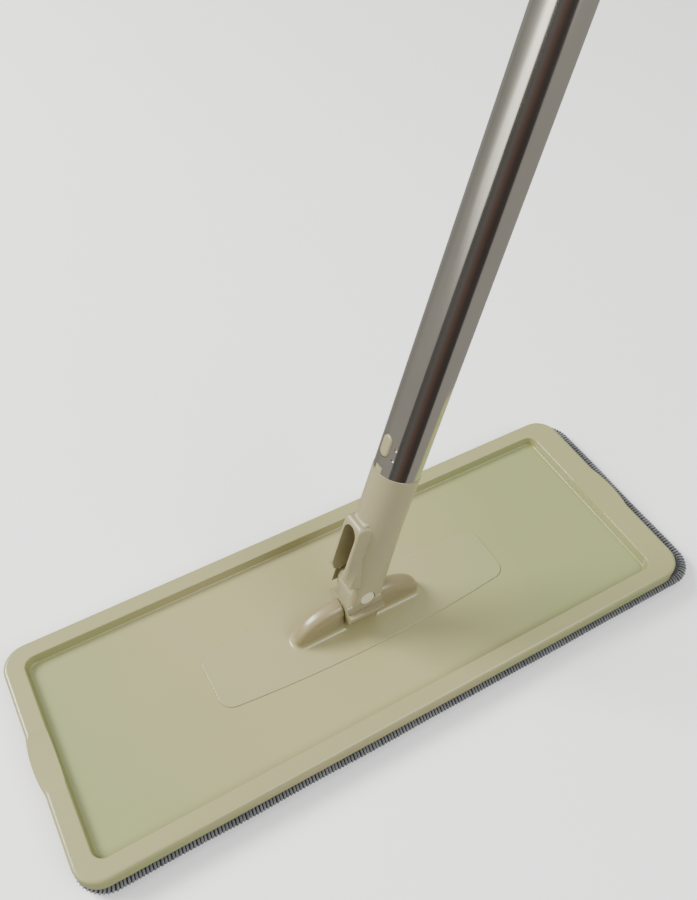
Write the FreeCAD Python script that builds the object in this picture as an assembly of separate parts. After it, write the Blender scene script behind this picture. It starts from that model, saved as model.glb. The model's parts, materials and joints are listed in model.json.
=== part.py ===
"""Flat mop: a moulded head with a microfibre pad, a two-axis swivel and a telescopic tube.

Frame: millimetres, +Z up, origin on the floor under the middle of the sole.
X runs along the head, Y across it. The pole leans towards +X against the swivel's
stop, and a little towards +Y, about the long hinge.

Three frames are used:
  head    the frame above
  block   origin on the long hinge axis (X), turned back by LEAN_BACK
  pole    origin on the fork pin (Y of the block), turned over by LEAN_SIDE, Z up the pole
"""
import FreeCAD
import Part

import math
import os

V = FreeCAD.Vector

OVER = 1.0                # how far cutting and joining tools run past a face
NEAR = 0.5                # how close to a face an edge counts as one of its edges

# ---- pad and sole -------------------------------------------------------------------
PAD_LENGTH = 341.0        # over the stitched edge
PAD_SHIFT = 5.0           # the pad is hooked on this far towards +X
PAD_WIDTH = 127.0
PAD_CORNER_R = 15.0
PILE_T = 3.0              # pressed microfibre pile
FOAM_T = 1.4
BACKING_T = 1.4
BINDING_W = 3.2           # stitched edge, seen from above
BINDING_LIFT = 1.2        # height of the binding's underside above the floor
PILE_SHY = 0.5            # pile's outline under the binding, drawn in from the pad's
LAYER_GAP = 0.1
HOOK_T = 1.0
HOOK_W = 24.0
HOOK_LENGTH = 286.0
HOOK_PITCH = 36.0         # between the hook strips' centre lines
SOFT_GAP = 0.2            # pad to hook strips

# ---- head tray ----------------------------------------------------------------------
TRAY_LENGTH = 330.0
TRAY_WIDTH = 122.0
TRAY_CORNER_R = 12.0
END_LOBE = 1.5            # finger lobe in the middle of each short end
END_LOBE_HALF = 15.0
SCOOP_DEPTH = 0.5         # shallow hollow on top of each lobe
RIM_H = 8.0
TRAY_WALL = 2.4
FLOOR_T = 3.0
RIM_END_LEFT = 9.7        # flat of the rim at the -X end
RIM_END_RIGHT = 15.8      # and at the +X end, where it is wider
RIM_SIDE = 8.7
RECESS_CORNER_R = 5.5
RECESS_DRAFT = 1.1        # how far the recess wall leans in over its height
RIM_FILLET = 1.8
LIP_FILLET = 0.7
RECESS_FILLET = 0.8       # hollow rounding at the foot of the recess wall
RIB_PITCH = 34.0
RIB_T = 1.8

# ---- hinge carrier, let into the tray's floor -----------------------------------------
CARRIER_LENGTH = 162.0
CARRIER_END_W = 31.0
CARRIER_MID_W = 40.0      # the long sides are bowed
CARRIER_CORNER_R = 7.0
CARRIER_T = 2.0
CARRIER_PROUD = 0.5
CARRIER_FIT = 0.06
CARRIER_SOFT = 0.4        # rounding of the panel's upper edge
PEG_R = 2.0
PEG_X = 66.0
PEG_Y = 9.0
PEG_SHORT = 0.1           # peg's end above the tray's underside
HUMP_R = 4.5              # half thickness of each hump, and its rounding about the hinge
HUMP_TIP = 35.8
HUMP_NOSE = 25.5          # length over which the hump falls to its tip
HUMP_ROUND = 0.86         # rounding of the hump's upper edges, as a share of HUMP_R
HUMP_ROOT_FILLET = 2.2
HINGE_H = 13.7            # hinge axis above the carrier's face
HINGE_X = -1.0            # middle of the long hinge, from the middle of the head
SCREW_X = 28.5
SCREW_R = 1.4
SCREW_HEAD_R = 2.9
SCREW_HEAD_H = 1.5
SCREW_LENGTH = 8.5
SCREW_RELIEF = 0.5        # hole in the hook tape, round each screw head
SCREW_SLOT_HALF = 0.4     # half width of the cross drive's slots
SCREW_SLOT_REACH = 2.0
SCREW_PILOT_OVER = 0.5    # pilot hole beyond the screw's tip
SCREW_FIT = 0.05

# ---- long hinge -----------------------------------------------------------------------
AXLE_R = 2.0
AXLE_HALF = 20.0
AXLE_FIT = 0.05
AXLE_CHAMFER = 0.4
KEEPER_W = 3.9
END_GAP = 0.5             # block to hump, each end

# ---- swivel block ---------------------------------------------------------------------
BLOCK_HALF = 9.4          # half length along the hinge
BLOCK_BELLY_R = 9.8       # rounded underside, about the hinge
BLOCK_BELLY_FLAT = 8.6    # depth of the flat below the hinge
BLOCK_SOFT = 2.0          # rounding of the tongue's shoulders
SNAP_GRIP = 0.9           # snap mouth as a share of the axle's diameter
LEDGE_Z = 1.9             # seat for the fork's feet, above the hinge
LEDGE_T = 1.0
TONGUE_HALF = 8.0         # half width between the cheeks
TONGUE_TOP = 6.8
BOSS_R = 6.3

# ---- fork and its pin -----------------------------------------------------------------
LEAN_SIDE = 19.2          # degrees towards +X, on the stop
LEAN_BACK = 6.6           # degrees towards +Y
PIN_R = 2.5
PIN_FIT = 0.05
PIN_HEAD_R = 3.8
PIN_HEAD_H = 1.3
PIN_HEAD_SUNK = 0.2
PIN_HEAD_SOFT = 0.5
PIN_HEAD_POCKET = 4.1
CHEEK_OUT = 11.0          # half width over the cheeks
CHEEK_FIT = 0.2
SEAT_GAP = 0.2            # foot to ledge
HEEL_EXTRA = 1.3          # foot's radius about the pin, beyond the block's half length
FOOT_CORNER_R = 4.0
NECK_FOOT = -1.0          # fork frame, where the foot starts turning into the round pole
TONGUE_CLEAR = 0.3        # around the boss and the tongue's sweep
WEB_FOOT = 2.0            # fork frame, underside of the web behind the tongue
NECK_TOP = 42.0           # pole frame, where it has become round
NECK_R = 11.2
SNOUT_OUT = 14.7          # reach of the slot's lips from the pole axis
SNOUT_HALF = 6.7          # half width over the lips
SNOUT_ROOT_HALF = 7.6
SNOUT_ROOT_X = 8.3        # where the snout's sides meet the round neck
SNOUT_SLOPE = 0.9         # rise of the snout's top into the neck, per mm
SNOUT_SOFT = 1.3
SNOUT_FLARE = 1.0         # each side spreads by this inside the neck
SNOUT_INSIDE = 0.6        # but stays this far inside the neck's surface
BEAK_NARROW = 0.6         # lips' half width is this much less at the beak
SLOT_HALF = 4.9           # half width of the slot that takes the hump
SLOT_TOP = 38.9           # crown of the slot's arch
SLOT_BACK = 5.0           # how far the slot runs past the pole axis
SNOUT_SHOULDER = 39.0     # where the lips begin to round over at the top
SNOUT_BROW_R = 2.8        # their rounding, seen from the side
SNOUT_BROW_NARROW = 1.6   # and how far they draw in, seen from the front
SNOUT_BROW_STEPS = 5
BEAK_Z = 12.5             # foot of the lips
BEAK_LOW = 8.0            # foot of the beak, where it meets the cheeks
BEAK_REACH = 12.4         # and its reach from the pole axis there
BEAK_RISE = 12.0          # height over which the lips take their full shape
BEAK_ROOT = 11.6          # fork frame, top of the cheek's free edge
TUBE_SEAT = 70.0          # shoulder that the tube stands on
SPIGOT_LENGTH = 36.0
SPIGOT_BORE_R = 7.6
SPIGOT_BORE_FLOOR = 58.0

# ---- snap button ----------------------------------------------------------------------
BUTTON_Z = 84.0
BUTTON_HOLE_H = 11.4
BUTTON_HOLE_W = 6.2
BUTTON_FIT = 0.3
BUTTON_PROUD = 0.5
BUTTON_SOFT = 1.2
BUTTON_FLANGE_OUT = 6.4
BUTTON_FLANGE_T = 1.2
BUTTON_FLANGE_H = 14.0
SPRING_T = 0.5
SPRING_W = 5.0
SPRING_DROP = 10.0        # reach of the leaf's bend below the button's flange

# ---- tubes ----------------------------------------------------------------------------
TUBE_R = 11.0
TUBE_WALL = 0.5
LOWER_TUBE_LENGTH = 500.0
TUBE_FIT = 0.08
NOTCH_W = 4.6
NOTCH_H = 3.4
NOTCH_FIT = 0.15
DIMPLE_R = 1.3
DIMPLE_DEPTH = 0.3
DIMPLE_TURN = 30.0        # degrees round from the snap button
DIMPLE_PITCH = 5.4
DIMPLE_RISE = 1.0         # upper dimple above the button's middle
TUBE_PLAY = 1.0           # upper tube inside the lower one, all round
UPPER_TUBE_LENGTH = 600.0
UPPER_TUBE_FOOT = 150.0   # pole frame, at rest
GUIDE_LENGTH = 22.0
GUIDE_WALL = 1.8

# ---- twist lock -----------------------------------------------------------------------
LOCK_SLEEVE = 34.0        # length over the lower tube
LOCK_WALL = 2.52
LOCK_NECK_WALL = 0.78     # round the wedge ring's head
LOCK_NECK = 26.0          # length above the lower tube's end
NUT_WALL = 2.48
NUT_COVER = 5.0           # nut's length beyond the neck
NUT_RIBS = 12
NUT_RIB_GAP = 1.6
LOCK_FIT = 0.12
LOCK_CHAMFER = 1.0
NUT_GAP = 1.0             # nut above the sleeve's shoulder
NUT_SHOULDER_H = 3.0      # cone at the nut's upper end
NUT_SHOULDER_W = 2.5
NUT_GROOVE_FOOT = 3.0     # grooves start and stop short of the nut's ends
NUT_GROOVE_HEAD = 5.0
WEDGE_LENGTH = 14.0
WEDGE_THIN = 0.8          # wall of the wedge ring at its foot
WEDGE_THICK = 1.8         # and at its head
WEDGE_FIT = 0.05
WEDGE_SLIT = 2.0

# ---- grip and cap ---------------------------------------------------------------------
GRIP_LENGTH = 130.0
GRIP_WALL = 4.62
GRIP_RINGS = 9
GRIP_RING_D = 0.9
GRIP_RING_W = 3.0
GRIP_PLAIN = 12.0         # plain length at each end of the rings
GRIP_CONE_W = 2.0         # cone at the grip's foot
GRIP_CONE_H = 4.0
GRIP_CHAMFER = 1.0
CAP_R = 14.0
CAP_PLUG = 24.0
CAP_DOME = 16.0
EYE_R = 6.0
EYE_RISE = 15.0           # eye centre above the cap's shoulder
EYE_PLATE_T = 7.0
EYE_RING = 5.0

# ---- worked out from the sizes above -----------------------------------------------------
PAD_T = PILE_T + FOAM_T + BACKING_T
TRAY_Z = PAD_T + SOFT_GAP + HOOK_T
RIM_Z = TRAY_Z + RIM_H
FLOOR_Z = TRAY_Z + FLOOR_T
CARRIER_Z = FLOOR_Z + CARRIER_PROUD
HINGE_Z = CARRIER_Z + HINGE_H
HUMP_START = BLOCK_HALF + END_GAP
CHEEK_IN = TONGUE_HALF + CHEEK_FIT
FOOT_R = BLOCK_HALF + HEEL_EXTRA
PIN_RISE = LEDGE_Z + SEAT_GAP + FOOT_R
RECESS_LEFT = -TRAY_LENGTH / 2 + RIM_END_LEFT
RECESS_RIGHT = TRAY_LENGTH / 2 - RIM_END_RIGHT
RECESS_HALF_W = TRAY_WIDTH / 2 - RIM_SIDE
SPIGOT_R = TUBE_R - TUBE_WALL - TUBE_FIT
INNER_TUBE_R = TUBE_R - TUBE_WALL - TUBE_PLAY
LOCK_R = TUBE_R + TUBE_FIT + LOCK_WALL
LOCK_NECK_R = INNER_TUBE_R + WEDGE_THICK + LOCK_FIT + LOCK_NECK_WALL
NUT_R = LOCK_NECK_R + LOCK_FIT + NUT_WALL
GRIP_R = INNER_TUBE_R + TUBE_FIT + GRIP_WALL
LOWER_TUBE_TOP = TUBE_SEAT + LOWER_TUBE_LENGTH
UPPER_TUBE_TOP = UPPER_TUBE_FOOT + UPPER_TUBE_LENGTH

BLOCK_PLACE = FreeCAD.Placement(V(HINGE_X, 0, HINGE_Z), FreeCAD.Rotation(V(1, 0, 0), -LEAN_BACK))
FORK_PLACE = BLOCK_PLACE.multiply(FreeCAD.Placement(V(0, 0, PIN_RISE), FreeCAD.Rotation()))
POLE_PLACE = FORK_PLACE.multiply(
    FreeCAD.Placement(V(0, 0, 0), FreeCAD.Rotation(V(0, 1, 0), LEAN_SIDE)))
POLE_IN_FORK = FreeCAD.Placement(V(0, 0, 0), FreeCAD.Rotation(V(0, 1, 0), LEAN_SIDE))


# ---- small helpers -------------------------------------------------------------------------
def placed(shape, placement):
    """Copy of a shape moved out of its own frame."""
    copy = shape.copy()
    copy.Placement = placement.multiply(copy.Placement)
    return copy


def box(x0, x1, y0, y1, z0, z1):
    """Box from its low and high corner."""
    return Part.makeBox(x1 - x0, y1 - y0, z1 - z0, V(x0, y0, z0))


def rod(radius, z0, z1, x=0.0, y=0.0):
    """Upright cylinder."""
    return Part.makeCylinder(radius, z1 - z0, V(x, y, z0))


def tube(outer, inner, z0, z1):
    """Upright tube."""
    return rod(outer, z0, z1).cut(rod(inner, z0, z1))


def prism(points, direction):
    """Solid swept from a closed polygon."""
    wire = Part.makePolygon([V(*p) for p in points] + [V(*points[0])])
    return Part.Face(wire).extrude(V(*direction))


def arc_edge(a, b, c):
    """Arc through three points."""
    return Part.Arc(V(*a), V(*b), V(*c)).toShape()


def line_edge(a, b):
    """Straight edge."""
    return Part.makeLine(V(*a), V(*b))


def rounded_outline(x0, x1, half_w, r, z, lobe=0.0):
    """Closed rounded rectangle at height z; lobe swells the middle of its short ends."""
    k = r * (1 - math.sqrt(0.5))
    edges = []
    for side, xa, xb in ((1, x0, x1), (-1, x1, x0)):
        y = side * half_w
        end_y = side * (half_w - r)
        edges.append(line_edge((xa + side * r, y, z), (xb - side * r, y, z)))
        edges.append(arc_edge((xb - side * r, y, z), (xb - side * k, y - side * k, z),
                              (xb, end_y, z)))
        if lobe:
            root = side * END_LOBE_HALF
            edges.append(line_edge((xb, end_y, z), (xb, root, z)))
            edges.append(arc_edge((xb, root, z), (xb + side * lobe, 0, z), (xb, -root, z)))
            edges.append(line_edge((xb, -root, z), (xb, -end_y, z)))
        else:
            edges.append(line_edge((xb, end_y, z), (xb, -end_y, z)))
        edges.append(arc_edge((xb, -end_y, z), (xb - side * k, -y + side * k, z),
                              (xb - side * r, -y, z)))
    return Part.Wire(edges)


def slab(wire, height):
    """Solid standing on a flat outline."""
    return Part.Face(wire).extrude(V(0, 0, height))


def edges_at(shape, test):
    """Edges whose every vertex and middle point pass a test."""
    found = []
    for edge in shape.Edges:
        middle = edge.valueAt((edge.FirstParameter + edge.LastParameter) / 2)
        points = [v.Point for v in edge.Vertexes] + [middle]
        if all(test(p) for p in points):
            found.append(edge)
    return found


def export(node, shape):
    """Write one sub-part."""
    shape.exportStep("parts/" + node + ".step")


# ---- pad -------------------------------------------------------------------------------------
def pad_outline(inset, z):
    """Pad's outline, drawn in by inset."""
    half = PAD_LENGTH / 2 - inset
    return rounded_outline(PAD_SHIFT - half, PAD_SHIFT + half, PAD_WIDTH / 2 - inset,
                           PAD_CORNER_R - inset, z)


def pad_layers():
    """Pile, foam, looped backing and the stitched binding round them."""
    inset = BINDING_W + LAYER_GAP
    pile = slab(pad_outline(inset, 0), PILE_T - LAYER_GAP)
    pile = pile.fuse(slab(pad_outline(PILE_SHY, 0), BINDING_LIFT - LAYER_GAP)).removeSplitter()
    foam = slab(pad_outline(inset, PILE_T), FOAM_T - LAYER_GAP)
    backing = slab(pad_outline(inset, PILE_T + FOAM_T), BACKING_T)
    ring = slab(pad_outline(0, BINDING_LIFT), PAD_T - BINDING_LIFT)
    binding = ring.cut(slab(pad_outline(BINDING_W, 0), PAD_T + OVER))
    return pile, foam, backing, binding


def hook_strips():
    """Three strips of hook tape under the tray."""
    z0 = TRAY_Z - HOOK_T
    strips = []
    for row in (-1, 0, 1):
        y = row * HOOK_PITCH
        strips.append(box(-HOOK_LENGTH / 2, HOOK_LENGTH / 2, y - HOOK_W / 2, y + HOOK_W / 2,
                          z0, TRAY_Z))
    for side in (-1, 1):
        relief = rod(SCREW_HEAD_R + SCREW_RELIEF, z0 - OVER, TRAY_Z + OVER,
                     HINGE_X + side * SCREW_X)
        strips[1] = strips[1].cut(relief)
    return Part.makeCompound(strips)


# ---- head tray -------------------------------------------------------------------------------
def tray_outline(inset, z):
    """Tray's outer outline, drawn in by inset."""
    half = TRAY_LENGTH / 2 - inset
    return rounded_outline(-half, half, TRAY_WIDTH / 2 - inset, TRAY_CORNER_R - inset, z,
                           END_LOBE)


def recess_outline(grow, z):
    """Recess's outline; grow widens it."""
    return rounded_outline(RECESS_LEFT - grow, RECESS_RIGHT + grow, RECESS_HALF_W + grow,
                           RECESS_CORNER_R + grow, z)


def carrier_outline(grow, z):
    """Bow-sided outline of the hinge carrier, before its corners are rounded."""
    x = CARRIER_LENGTH / 2 + grow
    end = CARRIER_END_W / 2 + grow
    mid = CARRIER_MID_W / 2 + grow
    edges = [
        arc_edge((-x, end, z), (0, mid, z), (x, end, z)),
        line_edge((x, end, z), (x, -end, z)),
        arc_edge((x, -end, z), (0, -mid, z), (-x, -end, z)),
        line_edge((-x, -end, z), (-x, end, z)),
    ]
    return Part.Wire(edges)


def carrier_slab(grow, z, height):
    """Carrier-shaped slab with rounded corners."""
    solid = slab(carrier_outline(grow, z), height)
    upright = [e for e in solid.Edges if abs(e.Vertexes[0].Z - e.Vertexes[-1].Z) > height / 2]
    return solid.makeFillet(CARRIER_CORNER_R, upright)


def rim_channel():
    """Hollow under the rim, left open downwards and crossed by stiffening ribs."""
    z0 = TRAY_Z - OVER
    height = RIM_H - TRAY_WALL + OVER
    ring = slab(tray_outline(TRAY_WALL, z0), height)
    ring = ring.cut(slab(recess_outline(TRAY_WALL, z0), height))
    count = int(TRAY_LENGTH / RIB_PITCH)
    for i in range(count + 1):
        x = (i - count / 2) * RIB_PITCH
        ring = ring.cut(box(x - RIB_T / 2, x + RIB_T / 2, -TRAY_WIDTH, TRAY_WIDTH,
                            z0, z0 + height))
    return ring


def scoop(side):
    """Shallow trough across the rim, on top of one lobe."""
    r = (END_LOBE_HALF ** 2 + SCOOP_DEPTH ** 2) / (2 * SCOOP_DEPTH)
    length = TRAY_LENGTH / 2 + 2 * END_LOBE
    return Part.makeCylinder(r, length, V(0, 0, RIM_Z - SCOOP_DEPTH + r), V(side, 0, 0))


def head_tray():
    """Moulded tray: flat-topped rim round a sunken floor, pocketed for the hinge carrier."""
    body = slab(tray_outline(0, TRAY_Z), RIM_H)
    top = edges_at(body, lambda p: abs(p.z - RIM_Z) < 1e-6)
    body = body.makeFillet(RIM_FILLET, top)
    recess = Part.makeLoft([recess_outline(-RECESS_DRAFT, FLOOR_Z), recess_outline(0, RIM_Z)],
                           True)
    body = body.cut(recess)
    foot = edges_at(body, lambda p: abs(p.z - FLOOR_Z) < 1e-6)
    body = body.makeFillet(RECESS_FILLET, foot)
    lip_reach = RECESS_HALF_W + NEAR
    lip = edges_at(body, lambda p: abs(p.z - RIM_Z) < 1e-6 and abs(p.y) < lip_reach
                   and RECESS_LEFT - NEAR < p.x < RECESS_RIGHT + NEAR)
    body = body.makeFillet(LIP_FILLET, lip)
    for side in (-1, 1):
        body = body.cut(scoop(side))
    body = body.cut(rim_channel())
    pocket_z = CARRIER_Z - CARRIER_T
    body = body.cut(carrier_slab(CARRIER_FIT, pocket_z, CARRIER_T + OVER))
    for sx in (-1, 1):
        x = HINGE_X + sx * SCREW_X
        body = body.cut(rod(SCREW_R + SCREW_FIT, TRAY_Z - OVER, FLOOR_Z, x))
        sink = Part.makeCone(SCREW_HEAD_R + SCREW_FIT, SCREW_R + SCREW_FIT, SCREW_HEAD_H,
                             V(x, 0, TRAY_Z))
        body = body.cut(sink)
        for sy in (-1, 1):
            body = body.cut(rod(PEG_R + SCREW_FIT, TRAY_Z - OVER, FLOOR_Z, sx * PEG_X,
                                sy * PEG_Y))
    return body


# ---- hinge carrier ---------------------------------------------------------------------------
def hump():
    """Tall narrow hump that holds one end of the long hinge, falling away to a round nose."""
    crown = HINGE_Z + HUMP_R
    nose_x = HUMP_TIP - HUMP_NOSE
    base = CARRIER_Z - CARRIER_T / 2
    fall = Part.Ellipse(V(0, 0, 0), HUMP_NOSE, crown - CARRIER_Z).toShape(0, math.pi / 2)
    fall.rotate(V(0, 0, 0), V(1, 0, 0), 90)
    fall.translate(V(nose_x, 0, CARRIER_Z))
    edges = [
        line_edge((HUMP_START, 0, base), (HUMP_START, 0, crown)),
        line_edge((HUMP_START, 0, crown), (nose_x, 0, crown)),
        fall,
        line_edge((HUMP_TIP, 0, CARRIER_Z), (HUMP_TIP, 0, base)),
        line_edge((HUMP_TIP, 0, base), (HUMP_START, 0, base)),
    ]
    profile = Part.Face(Part.Wire(Part.sortEdges(edges)[0]))
    profile.translate(V(0, -HUMP_R, 0))
    solid = profile.extrude(V(0, 2 * HUMP_R, 0))
    plan = box(HUMP_START, HUMP_TIP - HUMP_R, -HUMP_R, HUMP_R, base, crown + OVER)
    plan = plan.fuse(rod(HUMP_R, base, crown + OVER, HUMP_TIP - HUMP_R))
    solid = solid.common(plan).removeSplitter()
    soft = edges_at(solid, lambda p: p.z > CARRIER_Z + NEAR and abs(p.y) > NEAR
                    and p.x > HUMP_START - 1e-4)
    soft = [e for e in soft if e.BoundBox.XLength > NEAR]
    return solid.makeFillet(HUMP_R * HUMP_ROUND, soft)


def hinge_carrier():
    """Inset panel with both humps, pegs, the axle's slot and the screws' pilot holes."""
    z0 = CARRIER_Z - CARRIER_T
    body = carrier_slab(0, z0, CARRIER_T)
    rim = edges_at(body, lambda p: abs(p.z - CARRIER_Z) < 1e-6)
    body = body.makeFillet(CARRIER_SOFT, rim)
    one = hump()
    other = one.mirror(V(0, 0, 0), V(1, 0, 0))
    for solid in (one, other):
        solid.translate(V(HINGE_X, 0, 0))
    body = body.fuse([one, other]).removeSplitter()
    root = edges_at(body, lambda p: abs(p.z - CARRIER_Z) < 1e-4 and abs(p.y) < HUMP_R + NEAR
                    and abs(p.x - HINGE_X) < HUMP_TIP + NEAR)
    body = body.makeFillet(HUMP_ROOT_FILLET, root)
    bore = Part.makeCylinder(AXLE_R + AXLE_FIT, 2 * AXLE_HALF + 2 * AXLE_FIT,
                             V(HINGE_X - AXLE_HALF - AXLE_FIT, 0, HINGE_Z), V(1, 0, 0))
    slot_half = AXLE_R + AXLE_FIT
    slot_end = AXLE_HALF + AXLE_FIT
    body = body.cut(bore)
    body = body.cut(box(HINGE_X - slot_end, HINGE_X + slot_end, -slot_half, slot_half,
                        z0 - OVER, HINGE_Z))
    for sx in (-1, 1):
        x = HINGE_X + sx * SCREW_X
        body = body.cut(rod(SCREW_R + SCREW_FIT, z0 - OVER,
                            TRAY_Z + SCREW_LENGTH + SCREW_PILOT_OVER, x))
        for sy in (-1, 1):
            body = body.fuse(rod(PEG_R, TRAY_Z + PEG_SHORT, z0 + OVER, sx * PEG_X, sy * PEG_Y))
    return body.removeSplitter()


def cross_bar(x, half_x, half_y):
    """One bar of a screw's cross drive."""
    return box(x - half_x, x + half_x, -half_y, half_y, TRAY_Z - OVER,
               TRAY_Z + SCREW_HEAD_H / 2)


def carrier_screws():
    """Two countersunk self-tapping screws, driven up from under the tray."""
    screws = []
    for sx in (-1, 1):
        x = HINGE_X + sx * SCREW_X
        screw = Part.makeCone(SCREW_HEAD_R, SCREW_R, SCREW_HEAD_H, V(x, 0, TRAY_Z))
        screw = screw.fuse(rod(SCREW_R, TRAY_Z + SCREW_HEAD_H, TRAY_Z + SCREW_LENGTH, x))
        drive = cross_bar(x, SCREW_SLOT_REACH, SCREW_SLOT_HALF)
        drive = drive.fuse(cross_bar(x, SCREW_SLOT_HALF, SCREW_SLOT_REACH))
        screws.append(screw.cut(drive))
    return Part.makeCompound(screws)


def hinge_axle():
    """Steel axle of the long hinge."""
    axle = Part.makeCylinder(AXLE_R, 2 * AXLE_HALF, V(HINGE_X - AXLE_HALF, 0, HINGE_Z), V(1, 0, 0))
    ends = [e for e in axle.Edges if e.Closed]
    return axle.makeChamfer(AXLE_CHAMFER, ends)


def axle_keeper():
    """Insert that fills the carrier's slot under the axle and holds the axle up."""
    z0 = CARRIER_Z - CARRIER_T + SCREW_FIT
    top = HINGE_Z - AXLE_R - AXLE_FIT
    half = KEEPER_W / 2
    keeper = box(-AXLE_HALF, AXLE_HALF, -half, half, z0, CARRIER_Z)
    for sx in (-1, 1):
        inner = HUMP_START + END_GAP
        x0, x1 = sorted((sx * inner, sx * AXLE_HALF))
        keeper = keeper.fuse(box(x0, x1, -half, half, z0, top))
    keeper = keeper.removeSplitter()
    keeper.translate(V(HINGE_X, 0, 0))
    return keeper


# ---- swivel block (block frame) -----------------------------------------------------------------
def swivel_block():
    """Block that rocks on the long hinge; its tongue carries the fork pin."""
    belly = Part.makeCylinder(BLOCK_BELLY_R, 2 * BLOCK_HALF, V(-BLOCK_HALF, 0, 0), V(1, 0, 0))
    belly = belly.common(box(-BLOCK_HALF, BLOCK_HALF, -CHEEK_OUT, CHEEK_OUT,
                             -BLOCK_BELLY_FLAT, LEDGE_Z))
    ledge = box(-BLOCK_HALF, BLOCK_HALF, -CHEEK_OUT, CHEEK_OUT, LEDGE_Z - LEDGE_T, LEDGE_Z)
    tongue = box(-BLOCK_HALF, BLOCK_HALF, -TONGUE_HALF, TONGUE_HALF, 0, TONGUE_TOP)
    body = belly.fuse([ledge, tongue]).removeSplitter()
    shoulder = edges_at(body, lambda p: abs(p.z - TONGUE_TOP) < 1e-6
                        and abs(abs(p.y) - TONGUE_HALF) < 1e-6)
    body = body.makeFillet(BLOCK_SOFT, shoulder)
    neck = box(-BOSS_R, BOSS_R, -TONGUE_HALF, TONGUE_HALF, 0, PIN_RISE)
    boss = Part.makeCylinder(BOSS_R, 2 * TONGUE_HALF, V(0, -TONGUE_HALF, PIN_RISE), V(0, 1, 0))
    body = body.fuse([neck, boss]).removeSplitter()
    hole = Part.makeCylinder(PIN_R + PIN_FIT, 2 * CHEEK_OUT, V(0, -CHEEK_OUT, PIN_RISE),
                             V(0, 1, 0))
    body = body.cut(hole)
    bore = Part.makeCylinder(AXLE_R + AXLE_FIT, 2 * BLOCK_HALF + 2 * OVER,
                             V(-BLOCK_HALF - OVER, 0, 0), V(1, 0, 0))
    mouth = AXLE_R * SNAP_GRIP
    snap = box(-BLOCK_HALF - OVER, BLOCK_HALF + OVER, -mouth, mouth, -BLOCK_BELLY_FLAT - OVER, 0)
    body = body.cut(bore).cut(snap)
    return placed(body, BLOCK_PLACE)


def fork_pin():
    """Headed pin through both cheeks and the tongue."""
    half = CHEEK_OUT - PIN_HEAD_H
    pin = Part.makeCylinder(PIN_R, 2 * half, V(0, -half, 0), V(0, 1, 0))
    for side in (-1, 1):
        face = side * half
        head = Part.makeCylinder(PIN_HEAD_R, PIN_HEAD_H - PIN_HEAD_SUNK, V(0, face, 0),
                                 V(0, side, 0))
        outer = [e for e in head.Edges if e.Closed
                 and abs(e.Vertexes[0].Y) > half + NEAR]
        pin = pin.fuse(head.makeFillet(PIN_HEAD_SOFT, outer))
    return placed(pin.removeSplitter(), FORK_PLACE)


# ---- fork that carries the tube (pole frame, foot in fork frame) ----------------------------------
def fork_foot():
    """Flat-sided foot about the pin: square stop corner at +X, rounded at -X."""
    half = BLOCK_HALF
    drop = math.sqrt(FOOT_R ** 2 - half ** 2)
    k = math.radians(-90 - math.degrees(math.acos(drop / FOOT_R)) / 2)
    edges = [
        line_edge((half, 0, -FOOT_R), (0, 0, -FOOT_R)),
        arc_edge((0, 0, -FOOT_R), (FOOT_R * math.cos(k), 0, FOOT_R * math.sin(k)),
                 (-half, 0, -drop)),
        line_edge((-half, 0, -drop), (-half, 0, BEAK_ROOT)),
        line_edge((-half, 0, BEAK_ROOT), (0, 0, BEAK_ROOT)),
        line_edge((0, 0, BEAK_ROOT), (half, 0, 0)),
        line_edge((half, 0, 0), (half, 0, -FOOT_R)),
    ]
    face = Part.Face(Part.Wire(edges))
    face.translate(V(0, -CHEEK_OUT, 0))
    return face.extrude(V(0, 2 * CHEEK_OUT, 0))


def neck_start():
    """Rounded rectangle where the foot begins to turn into the round pole (fork frame)."""
    return rounded_outline(-BLOCK_HALF, BLOCK_HALF, CHEEK_OUT, FOOT_CORNER_R, NECK_FOOT)


def neck_end():
    """Circle, in eight arcs that answer the rounded rectangle's sides (pole frame)."""
    edges = []
    corner = 36.0
    side = 90.0 - corner
    angle = 90.0 + side / 2
    for i in range(8):
        sweep = side if i % 2 == 0 else corner
        points = []
        for part in (0, 0.5, 1):
            a = math.radians(angle - sweep * part)
            points.append((NECK_R * math.cos(a), NECK_R * math.sin(a), NECK_TOP))
        edges.append(arc_edge(*points))
        angle -= sweep
    return Part.Wire(edges)


def lip_outline(root_x, root_half, lip_half, z, out=SNOUT_OUT):
    """Section of the snout: two sides that run out to rounded lips (pole frame)."""
    corner = V(-out, lip_half, z)
    root = V(-root_x, root_half, z)
    into = corner + (root - corner).normalize() * SNOUT_SOFT
    turned_in = corner + V(0, -SNOUT_SOFT, 0)
    middle = (into + turned_in) * 0.25 + corner * 0.5
    start = V(0, min(root_half + SNOUT_FLARE, NECK_R - SNOUT_INSIDE), z)
    near = [start, root, into, middle, turned_in]
    far = [V(p.x, -p.y, p.z) for p in near]
    edges = [Part.makeLine(far[0], near[0])]
    edges += [Part.makeLine(near[0], near[1]), Part.makeLine(near[1], near[2])]
    edges.append(Part.Arc(near[2], near[3], near[4]).toShape())
    edges.append(Part.makeLine(near[4], far[4]))
    edges.append(Part.Arc(far[4], far[3], far[2]).toShape())
    edges += [Part.makeLine(far[2], far[1]), Part.makeLine(far[1], far[0])]
    return Part.Wire(edges)


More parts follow.
